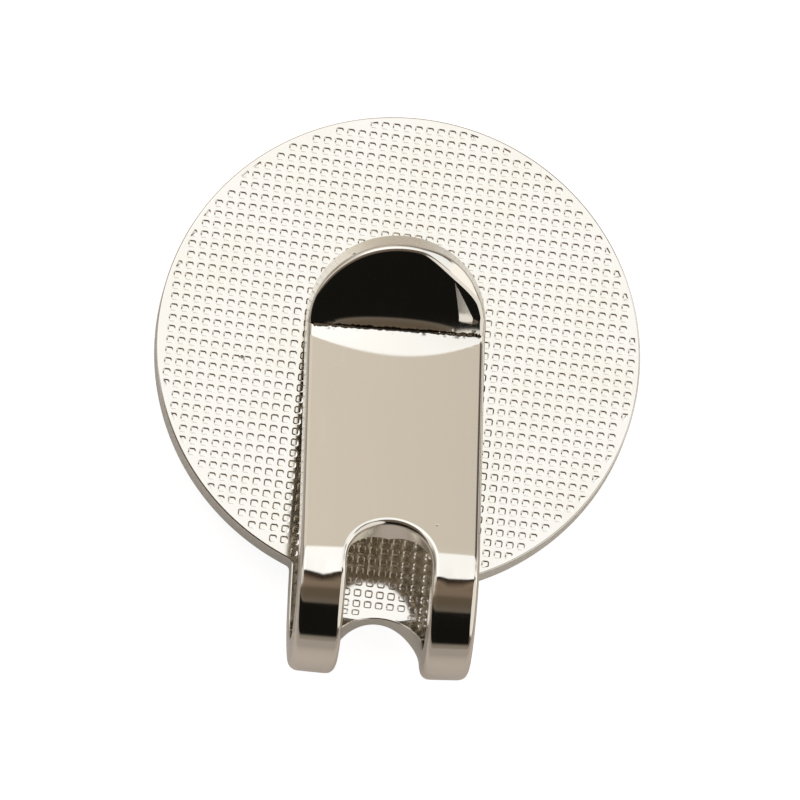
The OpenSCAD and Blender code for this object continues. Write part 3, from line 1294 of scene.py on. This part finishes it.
# The studio, by the angle from straight up towards -Y: a big soft light overhead and behind, a
# dark gap with the camera in it, black card, and the pale room low in front
SOFTBOX = (1.25, 1.275, 1.31)
ROOM = (0.75, 0.69, 0.61)
LOW_ROOM = (0.36, 0.31, 0.26)
BLACK_CARD = (0.008, 0.0075, 0.006)
STUDIO = (
    (-180, ROOM), (-52.5, ROOM), (-50.5, SOFTBOX), (-12, SOFTBOX), (-10.5, (0.030, 0.018, 0.011)),
    (-5, (0.040, 0.026, 0.017)), (3, (0.25, 0.19, 0.14)), (8, (0.225, 0.17, 0.125)),
    (13, (0.130, 0.100, 0.071)), (22, (0.125, 0.098, 0.070)), (31, (0.155, 0.130, 0.105)),
    (34, BLACK_CARD), (80.5, BLACK_CARD), (84, (0.24, 0.215, 0.18)), (92, LOW_ROOM),
    (180, LOW_ROOM),
)
# Between these angles the softbox reaches further to the right than the dark card beside it
WIDE_TURN, WIDE_HALF_TURN = -38.5, 13.5
DARK_SIDE = (0.12, 0.10, 0.085)
FAR_SIDE = (1.20, 1.18, 1.14)
LIGHT_SIDE = (0.80, 0.78, 0.74)
SIDE_WINDOW = (0.95, 0.92, 0.87)
WINDOW_X, WINDOW_TURN = 0.80, 32
WINDOW_HALF_X, WINDOW_HALF_TURN = 0.54, 46
# Behind the clip: tall cards on stands, and a dark line where floor and wall meet
CARD_TONE, CARD_SHARE = (0.20, 0.18, 0.16), 0.75
CARD_COUNT, CARD_TURN = 5.0, 0.6
HORIZON_TONE, HORIZON_SHARE, HORIZON_Z = (0.16, 0.14, 0.125), 0.8, 0.10
UNDER_LIGHT = (1.25, 1.25, 1.23)
UNDER_SHADE = (0.34, 0.33, 0.32)


def studio_bands(nodes, x, turn):
    """The bands of the studio, all a little brighter on the left."""
    ramp = nodes.add("ShaderNodeValToRGB")
    nodes.feed(ramp.inputs[0], nodes.plus(nodes.math("DIVIDE", turn, 2 * math.pi), 0.5))
    elements = ramp.color_ramp.elements
    while len(elements) < len(STUDIO):
        elements.new(0.5)
    for element, (degrees, colour) in zip(elements, STUDIO):
        element.position = degrees / 360 + 0.5
        element.color = (*colour, 1)
    shaded = nodes.add("ShaderNodeMix", data_type="RGBA", blend_type="MULTIPLY")
    shaded.inputs["Factor"].default_value = 1
    nodes.feed(shaded.inputs[6], ramp.outputs[0])
    nodes.feed(shaded.inputs[7], nodes.ramp(x, -0.35, 0.45, 1.10, 0.88))
    return shaded.outputs[2]


def from_turn(nodes, turn, middle, half):
    """How far an angle is from a middle one, where half is 1."""
    away = nodes.minus(turn, math.radians(middle))
    return nodes.math("DIVIDE", away, math.radians(half))


def studio_sides(nodes, x, turn, colour):
    """What stands to the right and the left of the bands."""
    over = nodes.math("ABSOLUTE", from_turn(nodes, turn, WIDE_TURN, WIDE_HALF_TURN))
    darker = nodes.times(nodes.ramp(x, 0.28, 0.45), nodes.ramp(over, 0.9, 1.1))
    colour = nodes.mix(darker, colour, DARK_SIDE)
    colour = nodes.mix(nodes.ramp(x, 0.74, 0.80), colour, FAR_SIDE)
    left = nodes.times(nodes.ramp(x, -0.45, -0.7), nodes.ramp(turn, 0.15, -0.1))
    colour = nodes.mix(left, colour, LIGHT_SIDE)
    off_x = nodes.math("DIVIDE", nodes.minus(x, WINDOW_X), WINDOW_HALF_X)
    off_turn = from_turn(nodes, turn, WINDOW_TURN, WINDOW_HALF_TURN)
    off = nodes.plus(nodes.times(off_x, off_x), nodes.times(off_turn, off_turn))
    return nodes.mix(nodes.ramp(off, 1.1, 0.9), colour, SIDE_WINDOW)


def studio_back(nodes, x, y, z, colour):
    behind = nodes.ramp(x, 0.60, 0.45)
    fan = nodes.times(nodes.math("ARCTAN2", x, y), CARD_COUNT)
    fan = nodes.math("SINE", nodes.plus(fan, CARD_TURN))
    low = nodes.times(nodes.ramp(z, 0.46, 0.36), nodes.ramp(y, 0.0, 0.25))
    cards = nodes.times(nodes.ramp(fan, 0.25, 0.5), nodes.times(low, behind))
    colour = nodes.mix(nodes.times(cards, CARD_SHARE), colour, CARD_TONE)
    level = nodes.math("ABSOLUTE", nodes.minus(z, HORIZON_Z))
    line = nodes.times(nodes.ramp(level, 0.07, 0.03), nodes.ramp(y, -0.2, 0.1))
    line = nodes.times(line, behind)
    return nodes.mix(nodes.times(line, HORIZON_SHARE), colour, HORIZON_TONE)


def add_world():
    """The studio as reflections see it, and plain white behind the object."""
    world = bpy.data.worlds.new("studio")
    bpy.context.scene.world = world
    world.use_nodes = True
    tree = world.node_tree
    tree.nodes.clear()
    nodes = Nodes(tree)
    x, y, z = nodes.split(nodes.add("ShaderNodeTexCoord").outputs["Generated"])
    turn = nodes.math("ARCTAN2", nodes.times(y, -1.0), z)
    colour = studio_bands(nodes, x, turn)
    colour = studio_sides(nodes, x, turn, colour)
    colour = studio_back(nodes, x, y, z, colour)
    under = nodes.mix(nodes.ramp(nodes.plus(x, y), -0.25, 0.35), UNDER_SHADE, UNDER_LIGHT)
    colour = nodes.mix(nodes.ramp(z, -0.25, -0.6), colour, under)
    seen = nodes.add("ShaderNodeLightPath").outputs["Is Camera Ray"]
    background = nodes.add("ShaderNodeBackground")
    nodes.feed(background.inputs["Color"], nodes.mix(seen, colour, (1.0, 1.0, 1.0)))
    out = nodes.add("ShaderNodeOutputWorld")
    nodes.feed(out.inputs["Surface"], background.outputs[0])


# ---- make it all

scene = bpy.context.scene
scene.view_settings.view_transform = "Standard"
scene.view_settings.look = "None"

build_clip(nickel("nickel_clip", (0.80, 0.765, 0.70), 0.075, crease=True))
disc_piece(
    "magnet_disc", "magnet", MAGNET_EDGE, "clip",
    nickel("magnet_plating", (0.72, 0.73, 0.74), 0.16, seed=3.0, turned=True),
)
disc_piece("magnet_glue_film", "magnet_glue", GLUE_EDGE, "clip", resin("glue"))
build_marker(nickel("nickel_marker", (0.78, 0.75, 0.69), 0.13, seed=5.0, turned=True))
for piece_name, cad_name, slot_name, colour in (
    ("enamel_sky_pour", "enamel_sky", "enamel_blue", (0.012, 0.075, 0.26)),
    ("enamel_green_pour", "enamel_green", "enamel_green", (0.022, 0.19, 0.045)),
    ("enamel_flag_pour", "enamel_flag", "enamel_red", (0.43, 0.016, 0.020)),
    ("enamel_ball_pour", "enamel_ball", "enamel_white", (0.83, 0.81, 0.77)),
):
    build_enamel(piece_name, cad_name, enamel(slot_name, colour))

add_floor()
add_world()

bpy.context.view_layer.update()
